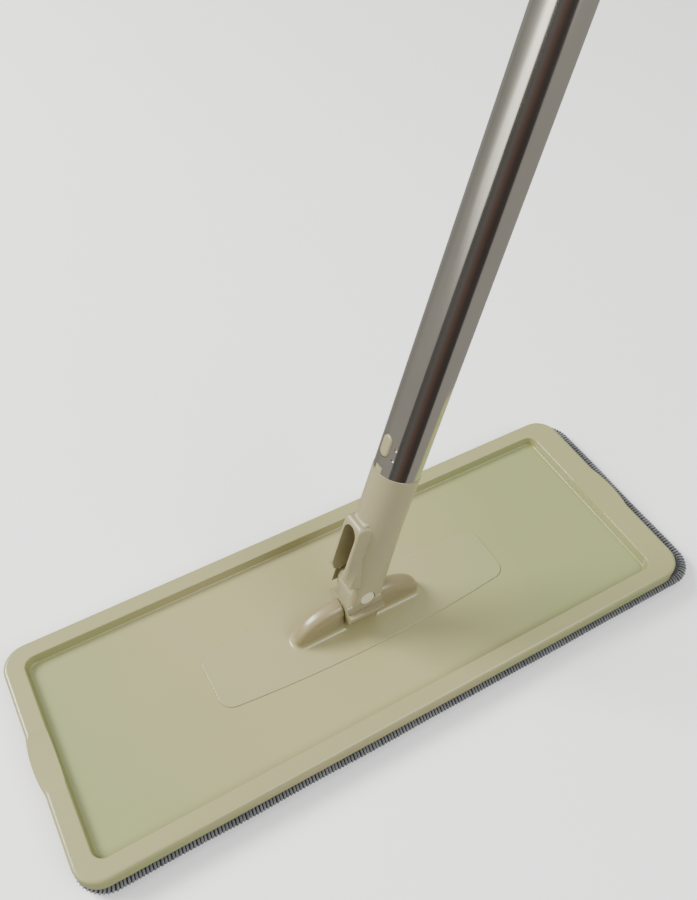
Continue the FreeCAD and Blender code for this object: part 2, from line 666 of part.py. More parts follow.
def brow_outlines():
    """Sections that round the lips over at the top and lead them into the neck."""
    outlines = []
    for i in range(1, SNOUT_BROW_STEPS + 1):
        turn = math.pi / 2 * i / SNOUT_BROW_STEPS
        drawn_in = SNOUT_BROW_NARROW * (1 - math.cos(turn))
        outlines.append(lip_outline(SNOUT_ROOT_X, SNOUT_ROOT_HALF - drawn_in,
                                    SNOUT_HALF - drawn_in,
                                    SNOUT_SHOULDER + SNOUT_BROW_R * math.sin(turn),
                                    SNOUT_OUT - SNOUT_BROW_R * (1 - math.cos(turn))))
    left = SNOUT_OUT - SNOUT_BROW_R - NECK_R + SNOUT_FLARE
    outlines.append(lip_outline(SNOUT_ROOT_X, SNOUT_ROOT_HALF - SNOUT_BROW_NARROW,
                                SNOUT_HALF - SNOUT_BROW_NARROW,
                                SNOUT_SHOULDER + SNOUT_BROW_R + SNOUT_SLOPE * left,
                                NECK_R - SNOUT_FLARE))
    return outlines


def snout():
    """Forward-reaching lips either side of the slot, rounded at the top, with a cut-back beak."""
    reach = NECK_R + SNOUT_OUT
    wires = [lip_outline(BEAK_REACH, CHEEK_OUT - SNOUT_FLARE, SNOUT_HALF - BEAK_NARROW, BEAK_LOW),
             lip_outline(SNOUT_ROOT_X, SNOUT_ROOT_HALF, SNOUT_HALF, BEAK_Z + BEAK_RISE),
             lip_outline(SNOUT_ROOT_X, SNOUT_ROOT_HALF, SNOUT_HALF, SNOUT_SHOULDER)]
    solid = Part.makeLoft(wires + brow_outlines(), True, True)
    front = -SNOUT_OUT - OVER
    drop = (BEAK_Z - BEAK_LOW) / (SNOUT_OUT - BEAK_REACH)
    beak = prism([(front, -reach, BEAK_LOW - OVER), (front, -reach, BEAK_Z + OVER * drop),
                  (-BEAK_REACH, -reach, BEAK_LOW), (-BEAK_REACH, -reach, BEAK_LOW - OVER)],
                 (0, 2 * reach, 0))
    return solid.cut(beak)


def obround(width, height, x0, x1, z):
    """Upright slot-ended bar lying along X."""
    r = width / 2
    straight = height / 2 - r
    bar = box(x0, x1, -r, r, z - straight, z + straight)
    for end in (-1, 1):
        bar = bar.fuse(Part.makeCylinder(r, x1 - x0, V(x0, 0, z + end * straight), V(1, 0, 0)))
    return bar.removeSplitter()


def tongue_room():
    """Room the block's tongue needs between the cheeks through the whole swing (fork frame)."""
    reach = 2 * SNOUT_OUT
    width = 2 * CHEEK_IN
    clear = math.hypot(BLOCK_HALF, PIN_RISE - TONGUE_TOP) + TONGUE_CLEAR
    room = box(-reach, reach, -CHEEK_IN, CHEEK_IN, -reach, WEB_FOOT)
    boss = Part.makeCylinder(BOSS_R + TONGUE_CLEAR, width, V(0, -CHEEK_IN, 0), V(0, 1, 0))
    sweep = Part.makeCylinder(clear, width, V(0, -CHEEK_IN, 0), V(0, 1, 0))
    sweep = sweep.common(box(-reach, 0, -CHEEK_IN, CHEEK_IN, -reach, reach))
    return room.fuse([boss, sweep])


def pole_connector():
    """One moulding: fork, slotted snout, round neck, tube shoulder, key and hollow spigot."""
    start = neck_start()
    start.Placement = POLE_IN_FORK.inverse().multiply(start.Placement)
    neck = Part.makeLoft([start, neck_end()], True, True)
    foot = placed(fork_foot(), POLE_IN_FORK.inverse())
    body = rod(NECK_R, NECK_TOP, TUBE_SEAT)
    body = body.fuse([neck, foot, snout()])
    body = body.fuse(rod(SPIGOT_R, TUBE_SEAT - OVER, TUBE_SEAT + SPIGOT_LENGTH))
    body = body.fuse(key_block(NOTCH_W / 2 - NOTCH_FIT, NOTCH_H - NOTCH_FIT))
    slot = box(-SNOUT_OUT - OVER, SLOT_BACK, -SLOT_HALF, SLOT_HALF, -2 * FOOT_R,
               SLOT_TOP - SLOT_HALF)
    crown = Part.makeCylinder(SLOT_HALF, SNOUT_OUT + OVER + SLOT_BACK,
                              V(-SNOUT_OUT - OVER, 0, SLOT_TOP - SLOT_HALF), V(1, 0, 0))
    body = body.cut(slot.fuse(crown))
    body = body.cut(placed(tongue_room(), POLE_IN_FORK.inverse()))
    body = body.cut(rod(SPIGOT_BORE_R, SPIGOT_BORE_FLOOR, TUBE_SEAT + SPIGOT_LENGTH + OVER))
    body = body.cut(obround(BUTTON_HOLE_W, BUTTON_HOLE_H, -TUBE_R - OVER, 0, BUTTON_Z))
    for side in (-1, 1):
        face = side * (CHEEK_OUT - PIN_HEAD_H)
        pocket = Part.makeCylinder(PIN_HEAD_POCKET, PIN_HEAD_H + OVER, V(0, face, 0),
                                   V(0, side, 0))
        body = body.cut(pocket)
    hole = Part.makeCylinder(PIN_R + PIN_FIT, 2 * CHEEK_OUT + 2 * OVER,
                             V(0, -CHEEK_OUT - OVER, 0), V(0, 1, 0))
    return placed(body.cut(hole).removeSplitter(), POLE_PLACE)


def key_block(half_w, height):
    """Key or notch at the tube's foot, on the -X side."""
    ring = tube(TUBE_R, SPIGOT_R - OVER, TUBE_SEAT - OVER, TUBE_SEAT + height)
    return ring.common(box(-TUBE_R, 0, -half_w, half_w, TUBE_SEAT - OVER, TUBE_SEAT + height))


# ---- snap button (pole frame) ---------------------------------------------------------------------
def snap_button():
    """Oval button with a flange that keeps it in the spigot."""
    stem = obround(BUTTON_HOLE_W - BUTTON_FIT, BUTTON_HOLE_H - BUTTON_FIT,
                   -TUBE_R - BUTTON_PROUD, -BUTTON_FLANGE_OUT, BUTTON_Z)
    outer = [e for e in stem.Edges
             if all(abs(v.X + TUBE_R + BUTTON_PROUD) < 1e-6 for v in e.Vertexes)]
    stem = stem.makeFillet(BUTTON_SOFT, outer)
    half = math.sqrt(SPIGOT_BORE_R ** 2 - BUTTON_FLANGE_OUT ** 2) - LAYER_GAP
    flange = box(-BUTTON_FLANGE_OUT, -BUTTON_FLANGE_OUT + BUTTON_FLANGE_T, -half, half,
                 BUTTON_Z - BUTTON_FLANGE_H / 2, BUTTON_Z + BUTTON_FLANGE_H / 2)
    return placed(stem.fuse(flange).removeSplitter(), POLE_PLACE)


def button_spring():
    """Bent leaf: one leg behind the button, one on the far wall of the spigot."""
    front = -BUTTON_FLANGE_OUT + BUTTON_FLANGE_T + LAYER_GAP
    back = math.sqrt(SPIGOT_BORE_R ** 2 - (SPRING_W / 2) ** 2) - LAYER_GAP
    mid = (front + back) / 2
    r = (back - front) / 2
    low = BUTTON_Z - BUTTON_FLANGE_H / 2
    bend_z = BUTTON_Z - BUTTON_FLANGE_H / 2 - SPRING_DROP + r
    half = SPRING_W / 2
    top = BUTTON_Z + BUTTON_FLANGE_H / 2
    leaf = box(front, front + SPRING_T, -half, half, bend_z, top)
    leaf = leaf.fuse(box(back - SPRING_T, back, -half, half, bend_z, top))
    bend = Part.makeCylinder(r, SPRING_W, V(mid, -half, bend_z), V(0, 1, 0))
    bend = bend.cut(Part.makeCylinder(r - SPRING_T, SPRING_W, V(mid, -half, bend_z), V(0, 1, 0)))
    bend = bend.common(box(front, back, -half, half, low - 2 * SPRING_DROP - r, bend_z))
    return placed(leaf.fuse(bend).removeSplitter(), POLE_PLACE)


# ---- tubes (pole frame) ---------------------------------------------------------------------------
def lower_tube():
    """Steel tube: notched foot, oval button hole and two punch marks."""
    body = tube(TUBE_R, TUBE_R - TUBE_WALL, TUBE_SEAT, LOWER_TUBE_TOP)
    body = body.cut(box(-TUBE_R - OVER, 0, -NOTCH_W / 2, NOTCH_W / 2, TUBE_SEAT - OVER,
                        TUBE_SEAT + NOTCH_H))
    body = body.cut(obround(BUTTON_HOLE_W, BUTTON_HOLE_H, -TUBE_R - OVER, 0, BUTTON_Z))
    turn = math.radians(180 + DIMPLE_TURN)
    centre = TUBE_R - DIMPLE_DEPTH + DIMPLE_R
    for z in (BUTTON_Z + DIMPLE_RISE, BUTTON_Z + DIMPLE_RISE - DIMPLE_PITCH):
        body = body.cut(Part.makeSphere(DIMPLE_R, V(centre * math.cos(turn),
                                                    centre * math.sin(turn), z)))
    return placed(body, POLE_PLACE)


def upper_tube():
    """Thinner steel tube that telescopes into the lower one."""
    body = tube(INNER_TUBE_R, INNER_TUBE_R - TUBE_WALL, UPPER_TUBE_FOOT, UPPER_TUBE_TOP)
    return placed(body, POLE_PLACE)


def tube_guide():
    """Plug in the upper tube's foot whose collar runs in the lower tube."""
    bore = INNER_TUBE_R - TUBE_WALL
    plug = rod(bore - TUBE_FIT, UPPER_TUBE_FOOT, UPPER_TUBE_FOOT + GUIDE_LENGTH)
    collar = rod(TUBE_R - TUBE_WALL - TUBE_FIT, UPPER_TUBE_FOOT - GUIDE_LENGTH / 2,
                 UPPER_TUBE_FOOT - TUBE_FIT)
    body = plug.fuse(rod(bore - TUBE_FIT, UPPER_TUBE_FOOT - OVER, UPPER_TUBE_FOOT + OVER))
    body = body.fuse(collar)
    body = body.cut(rod(bore - GUIDE_WALL, UPPER_TUBE_FOOT - GUIDE_LENGTH,
                        UPPER_TUBE_FOOT + GUIDE_LENGTH + OVER))
    return placed(body.removeSplitter(), POLE_PLACE)


# ---- twist lock (pole frame) ----------------------------------------------------------------------
def turned(points):
    """Solid turned about the pole axis from a closed (radius, height) outline."""
    wire = Part.makePolygon([V(r, 0, z) for r, z in points] + [V(points[0][0], 0, points[0][1])])
    return Part.Face(wire).revolve(V(0, 0, 0), V(0, 0, 1), 360)


def lock_sleeve():
    """Sleeve fixed over the lower tube's end, with a coned neck for the wedge ring."""
    top = LOWER_TUBE_TOP
    inner = TUBE_R + TUBE_FIT
    throat = INNER_TUBE_R + LOCK_FIT
    soft = LOCK_CHAMFER
    body = turned([(inner, top - LOCK_SLEEVE), (LOCK_R - soft, top - LOCK_SLEEVE),
                   (LOCK_R, top - LOCK_SLEEVE + soft), (LOCK_R, top - soft),
                   (LOCK_R - soft, top), (LOCK_NECK_R, top),
                   (LOCK_NECK_R, top + LOCK_NECK - soft),
                   (LOCK_NECK_R - soft / 2, top + LOCK_NECK),
                   (wedge_out(1) + LOCK_FIT, top + LOCK_NECK),
                   (wedge_out(0) + LOCK_FIT, top + LOCK_NECK - WEDGE_LENGTH),
                   (throat, top + LOCK_NECK - WEDGE_LENGTH), (throat, top + TUBE_FIT),
                   (inner, top + TUBE_FIT)])
    return placed(body, POLE_PLACE)


def wedge_out(t):
    """Outer radius of the wedge ring, from its foot (0) to its head (1)."""
    return INNER_TUBE_R + WEDGE_THIN + t * (WEDGE_THICK - WEDGE_THIN)


def wedge_ring():
    """Slit cone that is squeezed onto the upper tube."""
    z0 = LOWER_TUBE_TOP + LOCK_NECK - WEDGE_LENGTH + LOCK_FIT
    z1 = z0 + WEDGE_LENGTH
    inner = INNER_TUBE_R + WEDGE_FIT
    body = turned([(inner, z0), (wedge_out(0), z0), (wedge_out(1), z1), (inner, z1)])
    body = body.cut(box(0, LOCK_R, -WEDGE_SLIT / 2, WEDGE_SLIT / 2, z0 - OVER,
                        z1 + OVER))
    return placed(body, POLE_PLACE)


def lock_nut():
    """Ribbed nut turned by hand to press the wedge ring home."""
    z0 = LOWER_TUBE_TOP + NUT_GAP
    z1 = z0 + LOCK_NECK + NUT_COVER
    seat = LOWER_TUBE_TOP + LOCK_NECK + 2 * LOCK_FIT
    inner = LOCK_NECK_R + LOCK_FIT
    throat = INNER_TUBE_R + LOCK_FIT
    body = turned([(inner, z0), (NUT_R - LOCK_CHAMFER, z0), (NUT_R, z0 + LOCK_CHAMFER),
                   (NUT_R, z1 - NUT_SHOULDER_H), (NUT_R - NUT_SHOULDER_W, z1), (throat, z1),
                   (throat, seat), (inner, seat)])
    for i in range(NUT_RIBS):
        a = 2 * math.pi * i / NUT_RIBS
        x = (NUT_R + NUT_RIB_GAP / 2) * math.cos(a)
        y = (NUT_R + NUT_RIB_GAP / 2) * math.sin(a)
        body = body.cut(rod(NUT_RIB_GAP, z0 + NUT_GROOVE_FOOT, z1 - NUT_GROOVE_HEAD, x, y))
    return placed(body, POLE_PLACE)


# ---- grip and cap (pole frame) --------------------------------------------------------------------
def grip_sleeve():
    """Soft sleeve with shallow rings."""
    top = UPPER_TUBE_TOP
    inner = INNER_TUBE_R + TUBE_FIT
    z0 = top - GRIP_LENGTH
    points = [(inner, z0), (GRIP_R - GRIP_CONE_W, z0), (GRIP_R, z0 + GRIP_CONE_H)]
    pitch = (GRIP_LENGTH - 2 * GRIP_PLAIN) / GRIP_RINGS
    half = GRIP_RING_W / 2
    for i in range(GRIP_RINGS):
        z = z0 + GRIP_PLAIN + (i + 0.5) * pitch
        points += [(GRIP_R, z - half), (GRIP_R - GRIP_RING_D, z), (GRIP_R, z + half)]
    points += [(GRIP_R, top - GRIP_CHAMFER), (GRIP_R - GRIP_CHAMFER, top), (inner, top)]
    return placed(turned(points), POLE_PLACE)


def end_cap():
    """Plugged cap with a domed top and an eye to hang the mop by."""
    top = UPPER_TUBE_TOP + LAYER_GAP
    plug_r = INNER_TUBE_R - TUBE_WALL - TUBE_FIT
    body = rod(CAP_R, top, top + CAP_DOME / 2)
    dome = Part.makeSphere(CAP_R, V(0, 0, 0))
    flatten = FreeCAD.Matrix()
    flatten.scale(1, 1, CAP_DOME / CAP_R)
    dome = dome.transformGeometry(flatten)
    dome.translate(V(0, 0, top + CAP_DOME / 2))
    body = body.fuse(dome.common(rod(CAP_R + OVER, top + CAP_DOME / 4, top + 3 * CAP_DOME)))
    body = body.fuse(rod(plug_r, top - CAP_PLUG, top + OVER))
    eye_z = top + EYE_RISE
    ring = EYE_R + EYE_RING
    lug = Part.makeCylinder(ring, EYE_PLATE_T, V(0, -EYE_PLATE_T / 2, eye_z), V(0, 1, 0))
    body = body.fuse(lug)
    eye = Part.makeCylinder(EYE_R, 4 * CAP_R, V(0, -2 * CAP_R, eye_z), V(0, 1, 0))
    body = body.cut(eye)
    for side in (-1, 1):
        y0, y1 = sorted((side * EYE_PLATE_T / 2, side * 2 * CAP_R))
        body = body.cut(box(-2 * CAP_R, 2 * CAP_R, y0, y1, eye_z - EYE_R, eye_z + 3 * CAP_R))
    return placed(body.removeSplitter(), POLE_PLACE)


# ---- build -----------------------------------------------------------------------------------------
def build():
    """Model and export every sub-part."""
    os.makedirs("parts", exist_ok=True)
    pile, foam, backing, binding = pad_layers()
    export("pad_pile", pile)
    export("pad_foam", foam)
    export("pad_backing", backing)
    export("pad_binding", binding)
    for part in (hook_strips, head_tray, hinge_carrier, carrier_screws, hinge_axle,
                 axle_keeper, swivel_block, fork_pin, pole_connector, snap_button,
                 button_spring, lower_tube, lock_sleeve, wedge_ring, lock_nut, upper_tube,
                 tube_guide, grip_sleeve, end_cap):
        export(part.__name__, part())


build()
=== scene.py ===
"""Looks of the flat mop: materials for the moulded parts and tubes, and a cloth pad built here."""

import json
import math
import random

import bpy
from mathutils import Matrix, Vector


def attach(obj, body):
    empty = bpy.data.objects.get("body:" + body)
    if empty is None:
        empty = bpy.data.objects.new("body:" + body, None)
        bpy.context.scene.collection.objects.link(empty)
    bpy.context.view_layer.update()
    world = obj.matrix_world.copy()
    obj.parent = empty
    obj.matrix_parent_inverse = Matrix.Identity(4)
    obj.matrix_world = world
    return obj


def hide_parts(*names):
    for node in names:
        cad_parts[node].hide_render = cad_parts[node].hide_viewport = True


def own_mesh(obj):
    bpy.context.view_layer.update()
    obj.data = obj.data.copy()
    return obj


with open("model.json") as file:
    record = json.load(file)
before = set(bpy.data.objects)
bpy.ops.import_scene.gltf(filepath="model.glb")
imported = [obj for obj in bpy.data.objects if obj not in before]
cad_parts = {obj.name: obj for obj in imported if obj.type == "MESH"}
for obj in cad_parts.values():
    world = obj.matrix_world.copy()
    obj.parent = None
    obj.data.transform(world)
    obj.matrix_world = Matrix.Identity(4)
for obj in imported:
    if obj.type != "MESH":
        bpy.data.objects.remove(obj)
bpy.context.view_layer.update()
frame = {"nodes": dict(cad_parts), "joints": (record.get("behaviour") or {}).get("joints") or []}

TURN = 2 * math.pi        # a full turn
UP = Vector((0, 0, 1))

# pad's outline
PAD_LENGTH = 0.341
PAD_WIDTH = 0.127
PAD_SHIFT = 0.005         # how far off-centre the pad is hooked on
PAD_CORNER = 0.015

# rolled edge and the flattened thread wound round it
ROLL_HALF_W = 0.0019
ROLL_HALF_H = 0.00105
ROLL_Z = 0.0045
ROLL_STEP = 0.0012
ROLL_SIDES = 12
ROLL_DRIFT = 0.0004       # wandering sideways
ROLL_LIFT = 0.0002        # wandering up and down
WAVE_TERMS = 5
STITCH_PITCH = 0.00165
THREAD_HALF_W = 0.0005
THREAD_HALF_T = 0.0002
THREAD_CLEAR = 0.0002     # thread's middle outside the roll
THREAD_STEPS = 14         # steps in one turn of thread
THREAD_SIDES = 6
THREAD_SLIP = 0.00012     # most that a turn is out of place along the edge
UPRIGHT = 0.1             # a tangent whose cross product with UP is shorter is nearly vertical

# cloth layers: how far inside the outline, where each face lies, and the grid's step
PILE_INSET = 0.0018
PILE_TOP = 0.0029
PILE_UNDER = 0.0007
PILE_STEP = 0.0007
PILE_ROW_PITCH = 0.0042
PILE_ROW_DEPTH = 0.0005
PILE_LOOP_PITCH = 0.0034
PILE_LOOP_DEPTH = 0.0002
PILE_STAGGER = 1.7        # radians between the loops of neighbouring rows
PILE_WANDER = 0.0004
PILE_WANDER_RATE = 900
FOAM_INSET = 0.0045
FOAM_UNDER = 0.0031
FOAM_TOP = 0.0041
FOAM_STEP = 0.004
FOAM_SWELL = 0.0001
FOAM_RATE_X = 700
FOAM_RATE_Y = 640
LOOP_INSET = 0.0040
LOOP_UNDER = 0.0046
LOOP_TOP = 0.00555
LOOP_STEP = 0.0011
LOOP_RIB_PITCH = 0.0022
LOOP_RIB_DEPTH = 0.00012
LOOP_ROW_PITCH = 0.0018
LOOP_ROW_DEPTH = 0.00008

# moulded plate's tone
PLATE_SPAN = 0.33         # length over which it changes
TONE_DRIFT = 0.24         # unevenness of the change, as a part of the length
HUMP_FOOT_Z = 0.0112      # just above the panel's face
HUMP_BLEND = 0.004        # rise over which the thick parts' tone, partly painted shade, comes in

# colour sockets of Blender's Mix node
MIX_FIRST = 6
MIX_SECOND = 7
MIX_RESULT = 2

# floor, room and camera
FLOOR_SIZE = 80
FLOOR_Z = -0.0004         # just under the pad
LAMP_WALL = (2.8, 2.6, 2.25)
WALL_BANDS = [            # part of a turn round the room, and the wall's colour there
    (0.0, LAMP_WALL), (0.045, LAMP_WALL), (0.062, (0.075, 0.075, 0.068)),
    (0.12, (0.12, 0.11, 0.10)), (0.16, (0.11, 0.07, 0.055)), (0.21, (0.05, 0.04, 0.035)),
    (0.26, (0.05, 0.045, 0.04)), (0.275, (0.70, 0.67, 0.60)), (0.40, (0.46, 0.46, 0.41)),
    (0.60, (0.45, 0.45, 0.42)), (0.80, (0.24, 0.235, 0.205)), (0.885, (0.30, 0.285, 0.245)),
    (0.93, (0.50, 0.475, 0.41)), (0.965, (1.1, 1.03, 0.90)), (0.99, LAMP_WALL),
]
LOW_WALL_TINT = (1.0, 0.95, 0.84)
CEILING = (0.95, 0.97, 1.0)
CAMERA_PLACE = (-0.12814, -0.19655, 0.40518)
CAMERA_RIGHT = (0.86890, -0.49441, 0.02387)
CAMERA_BACK = (-0.34029, -0.56163, 0.75417)
CAMERA_LENS = 35.58
CAMERA_SENSOR = 36
CAMERA_NEAR = 0.01


# ---- shader nodes -----------------------------------------------------------------------
class Graph:
    """Small wrapper that adds and links the nodes of one node tree."""

    def __init__(self, tree, coordinates):
        self.nodes = tree.nodes
        self.links = tree.links
        self.place = self.add("ShaderNodeTexCoord").outputs[coordinates]

    def add(self, kind, **inputs):
        node = self.nodes.new(kind)
        for key, value in inputs.items():
            self.put(node.inputs[key.replace("_", " ")], value)
        return node

    def put(self, socket, value):
        if isinstance(value, bpy.types.NodeSocket):
            self.links.new(value, socket)
        else:
            socket.default_value = value

    def noise(self, scale, detail=3.0, rough=0.5, vector=None):
        node = self.add("ShaderNodeTexNoise", Vector=vector or self.place)
        node.inputs["Scale"].default_value = scale
        node.inputs["Detail"].default_value = detail
        node.inputs["Roughness"].default_value = rough
        return node.outputs["Fac"]

    def ramp(self, fac, stops):
        node = self.add("ShaderNodeValToRGB", Fac=fac)
        elements = node.color_ramp.elements
        while len(elements) < len(stops):
            elements.new(0.5)
        for element, (position, colour) in zip(elements, stops):
            element.position = position
            element.color = (*colour, 1)
        return node.outputs["Color"]

    def span(self, value, low, high, start=0.0, end=1.0):
        """Carries start to end over to low to high, and goes no further."""
        node = self.add("ShaderNodeMapRange", Value=value)
        node.inputs["From Min"].default_value = start
        node.inputs["From Max"].default_value = end
        node.inputs["To Min"].default_value = low
        node.inputs["To Max"].default_value = high
        return node.outputs["Result"]

    def math(self, op, a, b, kind="ShaderNodeMath"):
        node = self.nodes.new(kind)
        node.operation = op
        self.put(node.inputs[0], a)
        self.put(node.inputs[1], b)
        return node.outputs[0]

    def blend(self, factor, first, second):
        node = self.nodes.new("ShaderNodeMix")
        node.data_type = "RGBA"
        self.put(node.inputs["Factor"], factor)
        self.put(node.inputs[MIX_FIRST], first)
        self.put(node.inputs[MIX_SECOND], (*second, 1))
        return node.outputs[MIX_RESULT]

    def bump(self, height, strength, distance, normal=None):
        node = self.add("ShaderNodeBump", Height=height)
        node.inputs["Strength"].default_value = strength
        node.inputs["Distance"].default_value = distance
        if normal:
            self.links.new(normal, node.inputs["Normal"])
        return node.outputs["Normal"]


class Look(Graph):
    """Graph of one new material."""

    def __init__(self, name):
        self.material = bpy.data.materials.new(name)
        self.material.use_nodes = True
        super().__init__(self.material.node_tree, "Object")
        self.shader = self.nodes["Principled BSDF"]

    def set(self, **inputs):
        for key, value in inputs.items():
            self.put(self.shader.inputs[key.replace("_", " ")], value)


# ---- kinds of material ------------------------------------------------------------------
def satin(g, colour, rough):
    """Finish that all the moulded parts share: fine grain, slight waviness, uneven sheen."""
    fine = g.noise(scale=2600.0, detail=2.0, rough=0.6)
    wavy = g.noise(scale=60.0, detail=2.0)
    uneven = g.noise(scale=35.0, detail=4.0)
    grain = g.bump(fine, strength=0.2, distance=0.00004)
    g.set(Base_Color=colour, Roughness=g.span(uneven, rough - 0.05, rough + 0.07),
          Normal=g.bump(wavy, strength=0.12, distance=0.0004, normal=grain),
          IOR=1.5, Coat_Weight=0.15, Coat_Roughness=0.12)
    return g.material


def moulded(name, light, dark, rough=0.3):
    """Satin injection-moulded plastic with a faint tone drift."""
    g = Look(name)
    drift = g.noise(scale=9.0, detail=2.0)
    return satin(g, g.ramp(drift, [(0.3, dark), (0.7, light)]), rough)


def plate_plastic(name, warm, green, thick_tone_and_shade):
    """Thin moulding that is warmer in the middle and greener outwards; thick parts are browner and
    darker, partly the thicker plastic's own colour and partly painted shade, standing in for the
    humps' shaded walls and for the light that shines through the thin floor.
    """
    g = Look(name)
    axes = g.add("ShaderNodeSeparateXYZ", Vector=g.place)
    along = g.math("ADD", g.math("MULTIPLY", axes.outputs["X"], 1 / PLATE_SPAN), 0.5)
    drift = g.math("MULTIPLY", g.noise(scale=11.0, detail=2.0), TONE_DRIFT)
    along = g.math("SUBTRACT", g.math("ADD", along, drift), TONE_DRIFT / 2)
    thin = g.ramp(along, [(0.02, green), (0.32, warm), (0.55, warm), (0.80, green)])
    # painted shade, in part: above the panel's face the colour turns to the darker, browner thick
    # tone
    thick_and_shade_mask = g.span(axes.outputs["Z"], 0.0, 1.0, HUMP_FOOT_Z, HUMP_FOOT_Z + HUMP_BLEND)
    return satin(g, g.blend(thick_and_shade_mask, thin, thick_tone_and_shade), 0.3)


def polished(name, tint, rough, along):
    """Polished metal with fine draw lines along the axis."""
    g = Look(name)
    local = g.add("ShaderNodeVectorRotate", Vector=g.place)
    local.rotation_type = "AXIS_ANGLE"
    local.inputs["Axis"].default_value = along.cross(UP).normalized()
    local.inputs["Angle"].default_value = along.angle(UP)
    stretch = g.add("ShaderNodeMapping", Vector=local.outputs["Vector"])
    stretch.inputs["Scale"].default_value = (1, 1, 0.01)
    lines = g.noise(scale=1500.0, detail=3.0, rough=0.6, vector=stretch.outputs["Vector"])
    smudge = g.noise(scale=30.0, detail=4.0, rough=0.6)
    roughness = g.math("ADD", g.span(lines, rough * 0.6, rough * 1.3),
                       g.span(smudge, 0.0, rough * 0.5))
    colour = g.ramp(smudge, [(0.3, tuple(c * 0.94 for c in tint)), (0.7, tint)])
    g.set(Base_Color=colour, Metallic=1.0, Roughness=roughness,
          Normal=g.bump(lines, strength=0.06, distance=0.00003))
    return g.material


def cloth(name, light, dark, scale, bumpiness):
    """Knitted or piled cloth, and foam."""
    g = Look(name)
    weave = g.noise(scale, detail=4.0, rough=0.7)
    tone = g.noise(scale=70.0, detail=3.0)
    mix = g.math("ADD", g.math("MULTIPLY", weave, 0.6), g.math("MULTIPLY", tone, 0.4))
    g.set(Base_Color=g.ramp(mix, [(0.35, dark), (0.65, light)]), Roughness=0.95,
          Normal=g.bump(weave, bumpiness, distance=0.0004),
          Sheen_Weight=0.35, Sheen_Roughness=0.5)
    return g.material


def rubbery(name, light, dark):
    """Soft moulded rubber."""
    g = Look(name)
    fine = g.noise(scale=900.0, detail=3.0, rough=0.6)
    g.set(Base_Color=g.ramp(g.noise(scale=25.0), [(0.3, dark), (0.7, light)]),
          Roughness=g.span(fine, 0.55, 0.75), Normal=g.bump(fine, strength=0.3, distance=0.0001))
    return g.material


# ---- materials --------------------------------------------------------------------------
joints = {j["name"]: j for j in frame["joints"]}
pole_axis = Vector(joints["pole_slide"]["axis"]).normalized()
nearly_x = Vector((1, 0, 0.001)).normalized()

# third colour: tone of the thick parts above the panel's face, darker and browner, partly own
# colour and partly painted shade
tray_look = plate_plastic("khaki_tray", (0.300, 0.276, 0.128), (0.236, 0.258, 0.103),
                          (0.272, 0.262, 0.118))
panel_look = plate_plastic("khaki_panel", (0.300, 0.276, 0.134), (0.246, 0.268, 0.115),
                           (0.225, 0.190, 0.096))
khaki = moulded("khaki", (0.255, 0.228, 0.128), (0.232, 0.210, 0.115))
khaki_pale = moulded("khaki_pale", (0.50, 0.475, 0.33), (0.45, 0.43, 0.29))
dark_plastic = moulded("dark_plastic", (0.05, 0.05, 0.05), (0.035, 0.035, 0.036), 0.5)
steel = polished("stainless", (0.80, 0.78, 0.75), 0.12, pole_axis)
zinc = polished("zinc", (0.62, 0.63, 0.64), 0.28, nearly_x)
rubber = rubbery("grip_rubber", (0.055, 0.058, 0.056), (0.038, 0.04, 0.039))
fabric_pile = cloth("microfibre", (0.06, 0.06, 0.066), (0.022, 0.022, 0.025), 1300.0, 0.8)
fabric_edge = cloth("edge_cloth", (0.02, 0.02, 0.022), (0.008, 0.008, 0.009), 1500.0, 0.8)
fabric_loop = cloth("loop_cloth", (0.035, 0.035, 0.038), (0.015, 0.015, 0.017), 1700.0, 0.7)
thread_grey = cloth("thread", (0.19, 0.195, 0.205), (0.095, 0.1, 0.107), 2400.0, 0.5)
foam_look = cloth("foam", (0.62, 0.60, 0.50), (0.48, 0.46, 0.38), 800.0, 0.9)

NODE_MATERIAL = {
    "head_tray": tray_look, "hinge_carrier": panel_look, "axle_keeper": khaki,
    "swivel_block": khaki, "pole_connector": khaki, "fork_pin": khaki_pale,
    "snap_button": khaki, "lock_nut": khaki, "end_cap": khaki,
    "lower_tube": steel, "upper_tube": steel,
    "hinge_axle": zinc, "carrier_screws": zinc, "button_spring": zinc,
    "lock_sleeve": dark_plastic, "wedge_ring": dark_plastic, "tube_guide": dark_plastic,
    "hook_strips": dark_plastic, "grip_sleeve": rubber,
    "pad_pile": fabric_pile, "pad_foam": foam_look, "pad_backing": fabric_loop,
    "pad_binding": fabric_edge,
}


def dress_nodes():
    """Give every CAD node its material."""
    for node, material in NODE_MATERIAL.items():
        data = frame["nodes"][node].data
        data.materials.clear()
        data.materials.append(material)


# ---- pad --------------------------------------------------------------------------------
def outline(half_x, half_y, corner, step):
    """Points round a rounded rectangle, evenly spaced, with outward normals, and its length."""
    legs = [(2 * (half_y - corner), "line"), (corner * math.pi / 2, "arc"),
            (2 * (half_x - corner), "line"), (corner * math.pi / 2, "arc")] * 2
    total = sum(length for length, _ in legs)
    count = max(8, round(total / step))
    found = []
    for i in range(count):
        s = total * i / count
        x, y, heading = half_x, -half_y + corner, math.pi / 2
        for length, kind in legs:
            part = min(s, length)
            if kind == "line":
                x += part * math.cos(heading)
                y += part * math.sin(heading)
            else:
                turn = part / corner
                cx = x - corner * math.sin(heading)
                cy = y + corner * math.cos(heading)
                heading += turn
                x = cx + corner * math.sin(heading)
                y = cy - corner * math.cos(heading)
            s -= part
            if s <= 1e-12:
                break
        found.append((Vector((x, y, 0)), Vector((math.sin(heading), -math.cos(heading), 0))))
    return found, total


